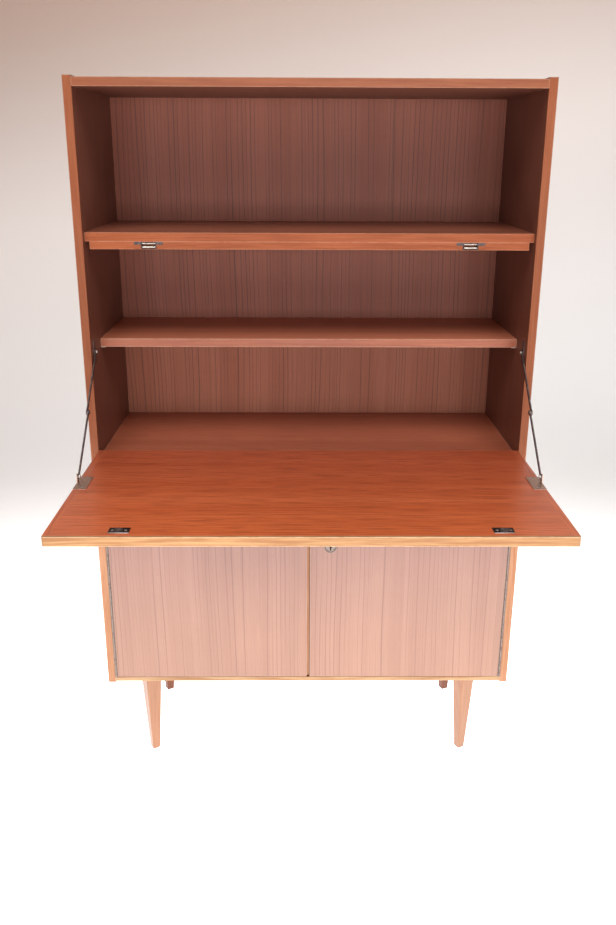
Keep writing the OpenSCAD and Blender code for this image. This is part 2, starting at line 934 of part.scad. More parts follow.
module door_screws_right() {
  color(steel_light) at_door_leaf_screws(1) small_screw();
}

// strip on the left door that closes the gap between the doors
module meeting_strip() {
  color(wood_edge)
    block([-door_gap / 2, meeting_y, door_z0],
          [door_gap / 2 - meeting_clear, meeting_y + meeting_d, door_z1]);
}

module escutcheon() {
  color(steel_aged) difference() {
    rod_y(keyhole_x, front_y - escutcheon_t, lock_z, escutcheon_r, escutcheon_t);
    keyhole(front_y - escutcheon_t - over, front_y + over, 0);
  }
}

module lock_case() {
  color(steel_light) difference() {
    block([lock_x0, lock_y, lock_z - lock_h / 2], [lock_x0 + lock_w, lock_y + lock_d, lock_z + lock_h / 2]);
    block([lock_x0 - over, bolt_y - move_gap, bolt_z - bolt_h / 2 - move_gap],
          [bolt_x0 + bolt_len + over, bolt_y + bolt_d + move_gap, bolt_z + bolt_h / 2 + move_gap]);
    keyhole(lock_y - over, lock_y + key_in_case, key_clear);
  }
}

module lock_bolt() {
  color(steel_dark)
    block([bolt_x0, bolt_y, bolt_z - bolt_h / 2],
          [bolt_x0 + bolt_len, bolt_y + bolt_d, bolt_z + bolt_h / 2]);
}

// keeper on the left door: a block with a pocket open towards the bolt
module lock_keeper() {
  color(steel_light) difference() {
    block([-door_gap / 2 - keeper_w, lock_y, bolt_z - keeper_h / 2],
          [-door_gap / 2, lock_y + lock_d, bolt_z + keeper_h / 2]);
    block([-door_gap / 2 - keeper_pocket, bolt_y - loose_gap, bolt_z - bolt_h / 2 - loose_gap],
          [-door_gap / 2 + over, bolt_y + bolt_d + loose_gap, bolt_z + bolt_h / 2 + loose_gap]);
  }
}

// ---- all parts ----

side_panel_left();
side_panel_right();
side_lippings();
top_panel();
bottom_panel();
desk_floor();
back_panel();
upper_shelf();
upper_shelf_lipping();
catch_batten();
middle_shelf();
middle_shelf_lipping();
lower_shelf();
shelf_pins();
carcass_dowels();
back_screws();
leg_front_left();
leg_front_right();
leg_rear_left();
leg_rear_right();
leg_plates();
leg_studs();
stay_brackets();
stay_upper_rivets();
catch_frames();
carcass_screws();
flap_hinge_fixed_leaf();
flap_hinge_pin();
door_hinge_fixed_leaves();
door_hinge_pins();
flap_panel();
flap_end_strips();
flap_front_strip();
flap_hinge_leaf();
strike_plates();
flap_stay_brackets();
flap_stay_rivets();
flap_screws();
door_left_panel();
meeting_strip();
door_leaf_left();
door_screws_left();
lock_keeper();
door_right_panel();
door_leaf_right();
door_screws_right();
lock_case();
escutcheon();
lock_bolt();
upper_link_left();
upper_link_right();
lower_link_left();
lower_link_right();
knuckle_rivet_left();
knuckle_rivet_right();
roller_left_upper();
roller_left_lower();
roller_right_upper();
roller_right_lower();
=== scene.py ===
"""Looks of the secretary desk: teak veneer, solid lippings, bronzed stays and plated hardware."""
import json
import math

import bmesh
import bpy
from mathutils import Matrix, Vector


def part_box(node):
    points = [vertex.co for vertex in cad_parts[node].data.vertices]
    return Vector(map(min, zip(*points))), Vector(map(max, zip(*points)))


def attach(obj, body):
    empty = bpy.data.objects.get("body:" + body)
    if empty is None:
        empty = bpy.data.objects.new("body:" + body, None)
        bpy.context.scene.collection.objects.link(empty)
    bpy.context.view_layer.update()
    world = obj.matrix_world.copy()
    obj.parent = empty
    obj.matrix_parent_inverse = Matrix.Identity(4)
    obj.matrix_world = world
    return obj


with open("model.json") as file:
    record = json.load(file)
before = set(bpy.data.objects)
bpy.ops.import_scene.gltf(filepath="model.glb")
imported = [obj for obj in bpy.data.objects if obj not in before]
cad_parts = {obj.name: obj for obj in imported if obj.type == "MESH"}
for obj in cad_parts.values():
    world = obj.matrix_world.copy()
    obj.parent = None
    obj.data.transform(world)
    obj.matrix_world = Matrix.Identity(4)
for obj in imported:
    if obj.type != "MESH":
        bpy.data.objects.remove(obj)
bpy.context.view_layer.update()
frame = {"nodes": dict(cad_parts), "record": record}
RECORD = frame["record"]
NODES = frame["nodes"]
SLOT_OF = {part["node"]: part["material_slot"] for part in RECORD["subparts"]}
BODY_OF = {node: body for body, names in RECORD["behaviour"]["bodies"].items() for node in names}

MM = 0.001
AXES = {"X": 0, "Y": 1, "Z": 2}

# camera: eye in metres, pitch below the horizon, yaw and roll in radians, focal length on a 36 mm side
EYE = (-0.021, -1.7174, 1.3391)
PITCH, YAW, ROLL = 0.3303, -0.0107, 0.0043
LENS = 34.95


# ---------------------------------------------------------------- shader node helpers

class Shader:
    """A material under construction, with short calls for the nodes it needs."""

    def __init__(self, name):
        self.material = bpy.data.materials.new(name)
        self.material.use_nodes = True
        self.tree = self.material.node_tree
        self.tree.nodes.clear()
        self.surface = self.tree.nodes.new("ShaderNodeBsdfPrincipled")
        output = self.tree.nodes.new("ShaderNodeOutputMaterial")
        self.tree.links.new(self.surface.outputs["BSDF"], output.inputs["Surface"])

    def put(self, socket, value):
        """Link an output, or set a plain value."""
        if isinstance(value, bpy.types.NodeSocket):
            self.tree.links.new(value, socket)
        elif isinstance(value, tuple) and len(value) == 3 and socket.type == "RGBA":
            socket.default_value = (*value, 1.0)
        else:
            socket.default_value = value

    def math(self, operation, a, b=0.0):
        node = self.tree.nodes.new("ShaderNodeMath")
        node.operation = operation
        self.put(node.inputs[0], a)
        self.put(node.inputs[1], b)
        return node.outputs[0]

    def plus(self, a, b):
        return self.math("ADD", a, b)

    def minus(self, a, b):
        return self.math("SUBTRACT", a, b)

    def times(self, a, b):
        return self.math("MULTIPLY", a, b)

    def step(self, value, low, high, out_low=0.0, out_high=1.0):
        """Smooth step from out_low at low to out_high at high."""
        node = self.tree.nodes.new("ShaderNodeMapRange")
        node.interpolation_type = "SMOOTHSTEP"
        self.put(node.inputs["Value"], value)
        self.put(node.inputs["From Min"], low)
        self.put(node.inputs["From Max"], high)
        self.put(node.inputs["To Min"], out_low)
        self.put(node.inputs["To Max"], out_high)
        return node.outputs["Result"]

    def mix(self, factor, a, b, blend="MIX"):
        node = self.tree.nodes.new("ShaderNodeMix")
        node.data_type = "RGBA"
        node.blend_type = blend
        self.put(node.inputs["Factor"], factor)
        self.put(node.inputs["A"], a)
        self.put(node.inputs["B"], b)
        return node.outputs["Result"]

    def place(self):
        """Object coordinates as three sockets: the row frame, in metres."""
        coordinates = self.tree.nodes.new("ShaderNodeTexCoord")
        split = self.tree.nodes.new("ShaderNodeSeparateXYZ")
        self.tree.links.new(coordinates.outputs["Object"], split.inputs[0])
        return [split.outputs[i] for i in range(3)]

    def vector(self, x, y, z):
        node = self.tree.nodes.new("ShaderNodeCombineXYZ")
        for socket, value in zip(node.inputs, (x, y, z)):
            self.put(socket, value)
        return node.outputs[0]

    def scaled(self, place, scales):
        return self.vector(*[self.times(place[axis], scales[axis]) for axis in range(3)])

    def noise(self, vector, scale=1.0, detail=2.0, roughness=0.5):
        node = self.tree.nodes.new("ShaderNodeTexNoise")
        self.put(node.inputs["Vector"], vector)
        self.put(node.inputs["Scale"], scale)
        self.put(node.inputs["Detail"], detail)
        self.put(node.inputs["Roughness"], roughness)
        return node.outputs["Fac"]

    def bump(self, height, strength, distance):
        node = self.tree.nodes.new("ShaderNodeBump")
        self.put(node.inputs["Strength"], strength)
        self.put(node.inputs["Distance"], distance)
        self.put(node.inputs["Height"], height)
        self.tree.links.new(node.outputs["Normal"], self.surface.inputs["Normal"])

    def set(self, **inputs):
        for name, value in inputs.items():
            self.put(self.surface.inputs[name.replace("_", " ")], value)


def edge_distance(shader, place, low, high):
    """Distance from the nearest edge of a box-shaped piece, in metres."""
    near = []
    for axis in range(3):
        from_low = shader.minus(place[axis], low[axis])
        from_high = shader.minus(high[axis], place[axis])
        near.append(shader.math("MINIMUM", from_low, from_high))
    smaller = shader.math("MINIMUM", near[0], near[1])
    larger = shader.math("MAXIMUM", near[0], near[1])
    return shader.math("MAXIMUM", smaller, shader.math("MINIMUM", larger, near[2]))


# ---------------------------------------------------------------- wood

# ground, pale, dark: linear colours of the ground, the pale bands and the dark lines
# lines, pitch: strength of the dark lines and how many there are in a metre; flecks: strength of the flecks
# leaf: width of a veneer leaf, 0 for solid wood; rough, gloss: roughness and strength of the reflection
# arris_wear_and_highlight: strength of the paler arrises, partly worn and partly a painted highlight;
# painted_light_tint, painted_light_span, along: tint of painted light and painted floor reflection at one
# end, and the heights (or places along another axis) that it grows between
WOODS = {
    "wood_side": dict(ground=(0.158, 0.050, 0.029), pale=(0.18, 0.060, 0.036), dark=(0.062, 0.022, 0.016),
                      lines=0.55, pitch=95.0, leaf=0.19, rough=0.45, gloss=0.35, arris_wear_and_highlight=0.4),
    # side lippings: painted reflection of the bright floor and painted light, lighter and paler towards the
    # floor
    "wood_edge": dict(ground=(0.205, 0.050, 0.014), pale=(0.24, 0.068, 0.022), dark=(0.12, 0.028, 0.010),
                      painted_light_tint=(1.90, 3.4, 5.6), painted_light_span=(0.80, 0.50), lines=0.35, pitch=240.0, leaf=0.0,
                      rough=0.48, gloss=0.25, arris_wear_and_highlight=0.4),
    "shelf_edge": dict(ground=(0.252, 0.060, 0.016), pale=(0.31, 0.080, 0.026), dark=(0.16, 0.032, 0.010),
                       lines=0.35, pitch=240.0, leaf=0.0, rough=0.48, gloss=0.2, arris_wear_and_highlight=0.3),
    # flap: painted light, lighter towards its front edge
    "wood_flap": dict(ground=(0.415, 0.0790, 0.0285), pale=(0.47, 0.100, 0.040), dark=(0.17, 0.029, 0.012),
                      painted_light_tint=(1.45, 1.58, 1.25), along="Y", painted_light_span=(0.03, -0.42), lines=0.58, pitch=125.0,
                      flecks=0.42, leaf=0.232, rough=0.34, gloss=0.5, arris_wear_and_highlight=0.35),
    "shelf_veneer": dict(ground=(0.380, 0.106, 0.053), pale=(0.43, 0.128, 0.066), dark=(0.19, 0.046, 0.026),
                         lines=0.40, pitch=150.0, flecks=0.30, leaf=0.17, rough=0.40, gloss=0.5,
                         arris_wear_and_highlight=0.5),
    # middle shelf: the shelf veneer made lighter, painted light
    "shelf_middle": dict(ground=(0.500, 0.155, 0.080), pale=(0.56, 0.185, 0.100), dark=(0.24, 0.066, 0.038),
                         lines=0.50, pitch=110.0, leaf=0.17, rough=0.40, gloss=0.5, arris_wear_and_highlight=0.5),
    # upper shelf: the shelf veneer made darker, painted shade under the top panel
    "shelf_upper": dict(ground=(0.225, 0.069, 0.038), pale=(0.26, 0.084, 0.048), dark=(0.12, 0.034, 0.020),
                        lines=0.40, pitch=150.0, leaf=0.17, rough=0.40, gloss=0.5, arris_wear_and_highlight=0.5),
    "wood_strip": dict(ground=(0.33, 0.090, 0.040), pale=(0.38, 0.115, 0.052), dark=(0.20, 0.05, 0.025),
                       lines=0.4, pitch=180.0, leaf=0.0, rough=0.40, gloss=0.5, arris_wear_and_highlight=0.8),
    # back panel: painted light, lighter below the middle shelf
    "wood_back": dict(ground=(0.250, 0.064, 0.033), pale=(0.28, 0.078, 0.043), dark=(0.080, 0.028, 0.021),
                      painted_light_tint=(1.45, 1.80, 1.85), painted_light_span=(0.985, 0.935), lines=0.80, pitch=105.0, leaf=0.21,
                      rough=0.50, gloss=0.3, arris_wear_and_highlight=0.3),
    # doors: painted light and painted reflection of the floor, lighter towards it; the pale pinkish ground
    # is partly the veneer's colour and partly painted reflection of the floor
    "wood_door": dict(ground=(0.238, 0.130, 0.112), pale=(0.265, 0.150, 0.130), dark=(0.140, 0.066, 0.066),
                      painted_light_tint=(1.40, 1.34, 1.05), lines=0.62, pitch=100.0, leaf=0.205,
                      rough=0.38, gloss=0.5, arris_wear_and_highlight=0.5),
    # lippings: painted reflection of the floor, paler and bluer towards it
    "wood_lip": dict(ground=(0.310, 0.135, 0.042), pale=(0.45, 0.250, 0.100), dark=(0.22, 0.070, 0.022),
                     painted_light_tint=(1.05, 1.20, 1.50), lines=0.60, pitch=260.0, leaf=0.0,
                     rough=0.42, gloss=0.4, arris_wear_and_highlight=0.9),
    # rear legs: the legs' wood made darker, painted shade under the desk
    "rear_leg": dict(ground=(0.170, 0.052, 0.022), pale=(0.20, 0.066, 0.030), dark=(0.11, 0.032, 0.014),
                     lines=0.40, pitch=190.0, leaf=0.0, rough=0.40, gloss=0.3, arris_wear_and_highlight=0.4),
    "wood_leg": dict(ground=(0.310, 0.135, 0.060), pale=(0.35, 0.165, 0.080), dark=(0.21, 0.078, 0.034),
                     lines=0.40, pitch=190.0, leaf=0.0, rough=0.36, gloss=0.5, arris_wear_and_highlight=0.7),
    "outer_veneer": dict(ground=(0.34, 0.125, 0.070), pale=(0.38, 0.150, 0.086), dark=(0.15, 0.055, 0.038),
                         lines=0.50, pitch=100.0, leaf=0.178, rough=0.38, gloss=0.5, arris_wear_and_highlight=0.5),
    "raw_board": dict(ground=(0.36, 0.235, 0.150), pale=(0.43, 0.30, 0.20), dark=(0.22, 0.135, 0.085),
                      lines=0.35, pitch=60.0, leaf=0.9, rough=0.75, gloss=0.2, arris_wear_and_highlight=0.2),
}
# colour of the paler arrises, where the finish is worn off and a painted highlight lies along them, how far
# that reaches from an edge, where it is full
WORN_AND_HIGHLIT_EDGE, EDGE_WEAR_AND_HIGHLIGHT_WIDTH, EDGE_WEAR_AND_HIGHLIGHT_CORE = (0.62, 0.46, 0.33), 1.7 * MM, 0.4 * MM
PORE_DEPTH = 0.12 * MM
# wander of the grain: features per metre, and how far; how it leans round an edge; jump between leaves
WANDER_SCALE, WANDER, TURN_AT_EDGE, LEAF_SHIFT = 1.6, 0.030, 0.8, 0.37
# broad bands of veneer and flecks of solid wood: features per metre across and along the grain
VENEER_BANDS, SOLID_FLECKS = (22.0, 0.35), (190.0, 9.0)
# the same for the short dark flecks over some veneers' bands, for the fine fibre and for the open pores
SHORT_FLECKS, FIBRE, PORES = (260.0, 14.0), (900.0, 14.0), (1500.0, 60.0)
# how much the fibre and the pores darken the wood
FIBRE_SHADE, PORE_SHADE = 0.16, 0.30
# dark lines: half width as a share of their spacing; the finer ones: half width, how much closer and weaker
LINE_WIDTH = 0.12
FINE_WIDTH, FINE_PITCH, FINE_SHADE = 0.22, 2.9, 0.32
# uneven spacing of the lines: features per line across, features per metre along, reach in spacings
CROWDING = (0.22, 0.6, 3.2)
# where the noise of each layer starts, so that no layer repeats another
START = {"bands": 0.0, "lines": 13.0, "fine_lines": 17.0, "fibre": 29.0, "pores": 41.0, "flecks": 53.0}
# slow change of brightness: features per metre, and its lowest and highest factor
TONE_SCALE, TONE = 2.6, (0.94, 1.06)
# spreads the numbers of neighbouring lines and leaves apart, so that they differ; number of seeds
LINE_SHUFFLE, LEAF_SHUFFLE, SEEDS = 5.17, 3.7, 97
# heights between which painted light and painted reflection of the floor turn a finish to its
# painted_light_tint
PAINTED_FLOOR_LIGHT_SPAN = (0.76, 0.25)
# direction of the grain; pieces not named here run along X
GRAIN = {
    "side_panel_left": "Z", "side_panel_right": "Z", "side_lippings": "Z", "back_panel": "Z",
    "door_left_panel": "Z", "door_right_panel": "Z", "meeting_strip": "Z", "flap_end_strips": "Y",
    "leg_front_left": "Z", "leg_front_right": "Z", "leg_rear_left": "Z", "leg_rear_right": "Z",
}
# pieces whose look differs from the slot that names them
LOOK_OF = {
    "top_panel": "wood_side", "bottom_panel": "wood_side",
    "desk_floor": "shelf_veneer", "upper_shelf": "shelf_upper", "middle_shelf": "shelf_middle",
    "leg_rear_left": "rear_leg", "leg_rear_right": "rear_leg", "flap_end_strips": "wood_flap",
    "upper_shelf_lipping": "shelf_edge", "middle_shelf_lipping": "wood_strip", "catch_batten": "shelf_edge",
    "strike_plates": "catch_steel", "catch_frames": "catch_steel", "carcass_screws": "catch_steel",
    "roller_left_upper": "roller_steel", "roller_left_lower": "roller_steel",
    "roller_right_upper": "roller_steel", "roller_right_lower": "roller_steel",
    "door_hinge_fixed_leaves": "hinge_tube", "door_leaf_left": "hinge_tube",
    "door_leaf_right": "hinge_tube", "escutcheon": "hinge_tube",
}
# a second finish on one face: axis, which end, how deep, look, grain
VENEER_T, LIPPING_T = 0.6 * MM, 3.0 * MM
SECOND_FACE = {
    "top_panel": ("Y", "low", LIPPING_T, "wood_edge", "X"),
    "bottom_panel": ("Y", "low", LIPPING_T, "wood_lip", "X"),
    "flap_panel": ("Z", "low", VENEER_T, "wood_door", "Y"),
    "side_panel_left": ("X", "low", VENEER_T, "outer_veneer", "Z"),
    "side_panel_right": ("X", "high", VENEER_T, "outer_veneer", "Z"),
    "back_panel": ("Y", "high", VENEER_T, "raw_board", "X"),
    "door_left_panel": ("Y", "high", VENEER_T, "wood_side", "Z"),
    "door_right_panel": ("Y", "high", VENEER_T, "wood_side", "Z"),
}
BEVEL = {"wood": 0.7 * MM, "metal": 0.15 * MM, "leg": 1.2 * MM}


class WoodFace:
    """One wood surface inside a shader: its grain's direction, its veneer leaves and its layers."""

    def __init__(self, shader, place, look, grain, box, seed):
        low, high = box
        across = [axis for axis in range(3) if axis != AXES[grain]]
        wide, thin = sorted(across, key=lambda axis: low[axis] - high[axis])
        self.shader = shader
        self.look = look
        self.seed = seed
        self.place = place
        self.run = place[AXES[grain]]
        self.leaf = self.leaf_number(place[wide], low[wide])
        self.side = self.side_of_grain(place[wide], place[thin])

    def leaf_number(self, position, start):
        """Which sheet of veneer a point is in; solid wood is all in sheet 0."""
        if not self.look["leaf"]:
            return 0.0
        return self.shader.math("FLOOR", self.shader.math("DIVIDE", self.shader.minus(position, start),
                                                          self.look["leaf"]))

    def side_of_grain(self, wide, thin):
        """Position across the grain, wandering a little and different in each veneer leaf."""
        shader = self.shader
        wander = shader.noise(shader.scaled(self.place, (WANDER_SCALE,) * 3), 1.0, 1.0)
        side = shader.plus(wide, shader.times(thin, TURN_AT_EDGE))
        side = shader.plus(side, shader.times(wander, WANDER))
        return shader.plus(side, shader.times(self.leaf, LEAF_SHIFT))

    def streaks(self, across, along, start, detail):
        """Noise stretched along the grain: features per metre across and along it."""
        shader = self.shader
        across_place = shader.times(self.side, across)
        along_place = shader.times(self.run, along)
        return shader.noise(shader.vector(across_place, along_place, self.seed + start), 1.0, detail)

    def lines(self, per_metre, width, start):
        """Thin dark lines along the grain, unevenly spaced, each with its own strength."""
        shader = self.shader
        across, along, reach = CROWDING
        crowding = self.streaks(per_metre * across, along, start, 1.0)
        count = shader.plus(shader.times(self.side, per_metre), shader.times(crowding, reach))
        away = shader.math("ABSOLUTE", shader.minus(shader.math("FRACT", count), 0.5))
        number = shader.times(shader.math("FLOOR", count), LINE_SHUFFLE)
        own = shader.noise(shader.vector(number, shader.times(self.run, 1.3), self.seed + start), 1.0, 0.0)
        return shader.times(shader.step(away, width, width * 0.3), shader.step(own, 0.34, 0.66, 0.1))

    def bands(self):
        """Broad pale and deep bands: long in veneer, short flecks in solid wood."""
        across, along = VENEER_BANDS if self.look["leaf"] else SOLID_FLECKS
        return self.streaks(across, along, START["bands"], 2.0)

    def tone(self):
        """Slow change of brightness over the board and from leaf to leaf."""
        shader = self.shader
        tone = shader.step(shader.noise(shader.vector(*self.place), TONE_SCALE, 2.0), 0.30, 0.70, *TONE)
        sheet = shader.noise(shader.vector(shader.times(self.leaf, LEAF_SHUFFLE), self.seed, 0.0), 1.0, 0.0)
        return shader.times(tone, shader.step(sheet, 0.25, 0.75, *TONE))

    def layers(self):
        """The surface's colour, its relief and its fibre."""
        shader, look = self.shader, self.look
        fibre = self.streaks(*FIBRE, START["fibre"], 2.0)
        pores = shader.step(self.streaks(*PORES, START["pores"], 1.0), 0.36, 0.28)
        colour = shader.mix(shader.step(self.bands(), 0.34, 0.66), look["ground"], look["pale"])
        darker = (
            (shader.step(fibre, 0.30, 0.70), FIBRE_SHADE),
            (self.lines(look["pitch"] * FINE_PITCH, FINE_WIDTH, START["fine_lines"]),
             look["lines"] * FINE_SHADE),
            (self.lines(look["pitch"], LINE_WIDTH, START["lines"]), look["lines"]),
            (pores, PORE_SHADE),
        )
        for layer, strength in darker:
            colour = shader.mix(shader.times(layer, strength), colour, look["dark"])
        colour = shader.mix(1.0, colour, self.tone(), "MULTIPLY")
        if "flecks" in look:
            flecks = shader.step(self.streaks(*SHORT_FLECKS, START["flecks"], 2.0), 0.44, 0.66)
            colour = shader.mix(shader.times(flecks, look["flecks"]), colour, look["dark"])
        # painted light and painted reflection of the floor: the finish turns lighter towards one end
        if "painted_light_tint" in look:
            position = self.place[AXES[look.get("along", "Z")]]
            painted_light = shader.step(position, *look.get("painted_light_span", PAINTED_FLOOR_LIGHT_SPAN))
            colour = shader.mix(painted_light, colour, look["painted_light_tint"], "MULTIPLY")
        return colour, shader.minus(shader.times(fibre, 0.3), shader.times(pores, 0.7)), fibre


def end_mask(shader, place, box, axis, end, depth):
    """1 within a depth of one end of the box, 0 elsewhere."""
    low, high = box
    if end == "low":
        inward = shader.minus(place[axis], low[axis])
    else:
        inward = shader.minus(high[axis], place[axis])
    return shader.math("LESS_THAN", inward, depth)


def wood_material(name, look_name, grain, box, second=None):
    """Veneer or solid wood with arrises paled by wear and by a painted highlight, and a second finish on
    one face if it has one.
    """
    look = WOODS[look_name]
    shader = Shader(name)
    place = shader.place()
    seed = float(sum(ord(letter) for letter in name) % SEEDS)
    colour, relief, fibre = WoodFace(shader, place, look, grain, box, seed).layers()
    pale = look["pale"]
    if second:
        axis_name, end, depth, other_name, other_grain = second
        mask = end_mask(shader, place, box, AXES[axis_name], end, depth)
        other = WoodFace(shader, place, WOODS[other_name], other_grain, box, seed + 5.0)
        other_colour, other_relief, _ = other.layers()
        colour = shader.mix(mask, colour, other_colour)
        relief = shader.mix(mask, relief, other_relief)
        pale = shader.mix(mask, pale, WOODS[other_name]["pale"])

    # paler arrises: partly worn wood, partly a painted highlight where light catches the edges
    edge_patchiness = shader.noise(shader.vector(*place), 60.0, 3.0, 0.65)
    near_edge = shader.step(edge_distance(shader, place, *box), EDGE_WEAR_AND_HIGHLIGHT_WIDTH, EDGE_WEAR_AND_HIGHLIGHT_CORE)
    arris_wear_and_highlight = shader.times(near_edge, shader.step(edge_patchiness, 0.30, 0.60, 0.35))
    colour = shader.mix(shader.times(arris_wear_and_highlight, look["arris_wear_and_highlight"]), colour, shader.mix(0.5, pale, WORN_AND_HIGHLIT_EDGE))
    rough = shader.plus(shader.times(fibre, 0.10), look["rough"] - 0.05)
    shader.set(Base_Color=colour, Roughness=shader.plus(rough, shader.times(arris_wear_and_highlight, 0.12)))
    shader.surface.inputs["Specular IOR Level"].default_value = look["gloss"]
    shader.bump(relief, 0.35, PORE_DEPTH)
    return shader.material


# ---------------------------------------------------------------- metal

# tarnish spots and fine scratches: features per metre; the scratches run along X
MOTTLE_SCALE, SCRATCH_SCALES = 140.0, (300.0, 1800.0, 1800.0)
SCRATCH_DEPTH = 0.05 * MM
# ground, worn: linear colours of the clean metal and of its tarnished spots
METALS = {
    "steel_dark": dict(ground=(0.105, 0.080, 0.080), worn=(0.22, 0.17, 0.15), rough=0.42),
    "steel_aged": dict(ground=(0.30, 0.26, 0.25), worn=(0.15, 0.12, 0.12), rough=0.36),
    "hinge_tube": dict(ground=(0.22, 0.18, 0.16), worn=(0.13, 0.10, 0.09), rough=0.50),
    "catch_steel": dict(ground=(0.065, 0.055, 0.058), worn=(0.13, 0.10, 0.09), rough=0.40),
    "roller_steel": dict(ground=(0.40, 0.37, 0.33), worn=(0.24, 0.21, 0.19), rough=0.30),
    "brass_dull": dict(ground=(0.52, 0.38, 0.31), worn=(0.38, 0.27, 0.21), rough=0.38),
    "steel_light": dict(ground=(0.66, 0.63, 0.60), worn=(0.40, 0.36, 0.33), rough=0.34),
}


def metal_material(look_name):
    """Plated or bronzed steel: fine scratches, mottled tarnish, uneven gloss."""
    look = METALS[look_name]
    shader = Shader(look_name)
    place = shader.place()
    mottle = shader.noise(shader.vector(*place), MOTTLE_SCALE, 4.0, 0.6)
    scratch = shader.noise(shader.scaled(place, SCRATCH_SCALES), 1.0, 2.0)
    colour = shader.mix(shader.step(mottle, 0.45, 0.72), look["ground"], look["worn"])
    rough = shader.plus(shader.times(mottle, 0.20), look["rough"] - 0.08)
    rough = shader.plus(rough, shader.times(scratch, 0.08))
    shader.set(Base_Color=colour, Roughness=rough)
    shader.surface.inputs["Metallic"].default_value = 1.0
    shader.bump(shader.plus(scratch, mottle), 0.15, SCRATCH_DEPTH)
    return shader.material


# ---------------------------------------------------------------- CAD nodes

def soften(piece, width, segments):
    bevel = piece.modifiers.new("soft_edges", "BEVEL")
    bevel.width = width
    bevel.segments = segments
    bevel.limit_method = "ANGLE"
    bevel.angle_limit = math.radians(40)
    bevel.harden_normals = True


def finish_wood(name):
    piece = NODES[name]
    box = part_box(name)
    look = LOOK_OF.get(name, SLOT_OF[name])
    material = wood_material(name + "_wood", look, GRAIN.get(name, "X"), box, SECOND_FACE.get(name))
    piece.data.materials.clear()
    piece.data.materials.append(material)
    soften(piece, BEVEL["leg"] if name.startswith("leg_") else BEVEL["wood"], 2)


def finish_metal(name):
    piece = NODES[name]
    piece.data.materials.clear()
    piece.data.materials.append(METAL_MATERIALS[LOOK_OF.get(name, SLOT_OF[name])])
    soften(piece, BEVEL["metal"], 2)


# ---------------------------------------------------------------- added pieces

def add_piece(name, bm, material, smooth_angle=40):
    """Turn a bmesh into a named object with one material."""
    bmesh.ops.recalc_face_normals(bm, faces=bm.faces)
    mesh = bpy.data.meshes.new(name)
    bm.to_mesh(mesh)
    bm.free()
    mesh.materials.append(material)
    mesh.shade_smooth()
    mesh.set_sharp_from_angle(angle=math.radians(smooth_angle))
    piece = bpy.data.objects.new(name, mesh)
    bpy.context.scene.collection.objects.link(piece)
    return piece


def add_part(name, bm, slot, body, look=None):
    """A metal piece of the object: it takes the metal of its look, or else of its slot, and rides on a
    body.
    """
    piece = add_piece(name, bm, METAL_MATERIALS[look or slot])
    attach(piece, body)
    return piece


def bridge(bm, lower, upper):
    """Quads between two closed rings of the same length."""
    count = len(lower)
    for i in range(count):
        j = (i + 1) % count
        bm.faces.new((lower[i], lower[j], upper[j], upper[i]))


def solid_rings(bm, rings):
    """A closed solid through a list of rings of points."""
    made = [[bm.verts.new(point) for point in ring] for ring in rings]
    for lower, upper in zip(made, made[1:]):
        bridge(bm, lower, upper)
    bm.faces.new(made[0])
    bm.faces.new(made[-1])


def separate_solids(name):
    """Corner lists of the separate solids in a CAD node, found by shared positions."""
    mesh = NODES[name].data
    spots = [tuple(round(c, 6) for c in vertex.co) for vertex in mesh.vertices]
    parent = {spot: spot for spot in spots}

    def root(spot):
        while parent[spot] != spot:
            parent[spot] = parent[parent[spot]]
            spot = parent[spot]
        return spot

    for edge in mesh.edges:
        a, b = (root(spots[i]) for i in edge.vertices)
        parent[a] = b
    groups = {}
    for spot in parent:
        groups.setdefault(root(spot), []).append(Vector(spot))
    return [groups[key] for key in sorted(groups)]


def screw_head(points):
    """Centre of a countersunk screw's head, the way it faces, and its radius."""
    low = Vector([min(p[a] for p in points) for a in range(3)])
    high = Vector([max(p[a] for p in points) for a in range(3)])
    size = high - low
    axis = max(range(3), key=lambda a: size[a])
    centre = (low + high) / 2
    radius = min(size[a] for a in range(3) if a != axis) / 2
    rim = [p[axis] for p in points if (p - centre).length > 0 and off_axis(p - centre, axis) > 0.9 * radius]
    head_is_high = sum(rim) / len(rim) > centre[axis]
    facing = Vector((0.0, 0.0, 0.0))
    facing[axis] = 1.0 if head_is_high else -1.0
    centre[axis] = high[axis] if head_is_high else low[axis]
    return centre, facing, radius


def off_axis(offset, axis):
    flat = offset.copy()
    flat[axis] = 0.0
    return flat.length


# a screw head's profile: share of its radius, share of its height
HEAD_PROFILE = ((1.0, -0.3), (1.0, 0.25), (0.88, 0.68), (0.62, 1.0))
HEAD_HEIGHT = 0.3 * MM
# the head stays a little inside the screw's rim, and each slot is turned further than the last
HEAD_SHARE, SLOT_TURN = 0.97, 0.65
# half the slot's width as a share of the head's radius; points along each half's arc
SLOT_SHARE, ARC_STEPS = 0.15, 10


def half_head(bm, centre, facing, radius, turn, side):
    """One side of a slotted screw head: a low D-shaped dome beside the slot."""
    first = facing.orthogonal().normalized()
    first = Matrix.Rotation(turn, 3, facing) @ first
    second = facing.cross(first) * side
    rings = []
    for share, lift in HEAD_PROFILE:
        start = math.asin(SLOT_SHARE / share)
        ring = []
        for i in range(ARC_STEPS + 1):
            angle = start + (math.pi - 2 * start) * i / ARC_STEPS
            ring.append(centre + facing * (lift * HEAD_HEIGHT)
                        + (first * math.cos(angle) + second * math.sin(angle)) * radius * share)
        rings.append(ring)
    solid_rings(bm, rings)


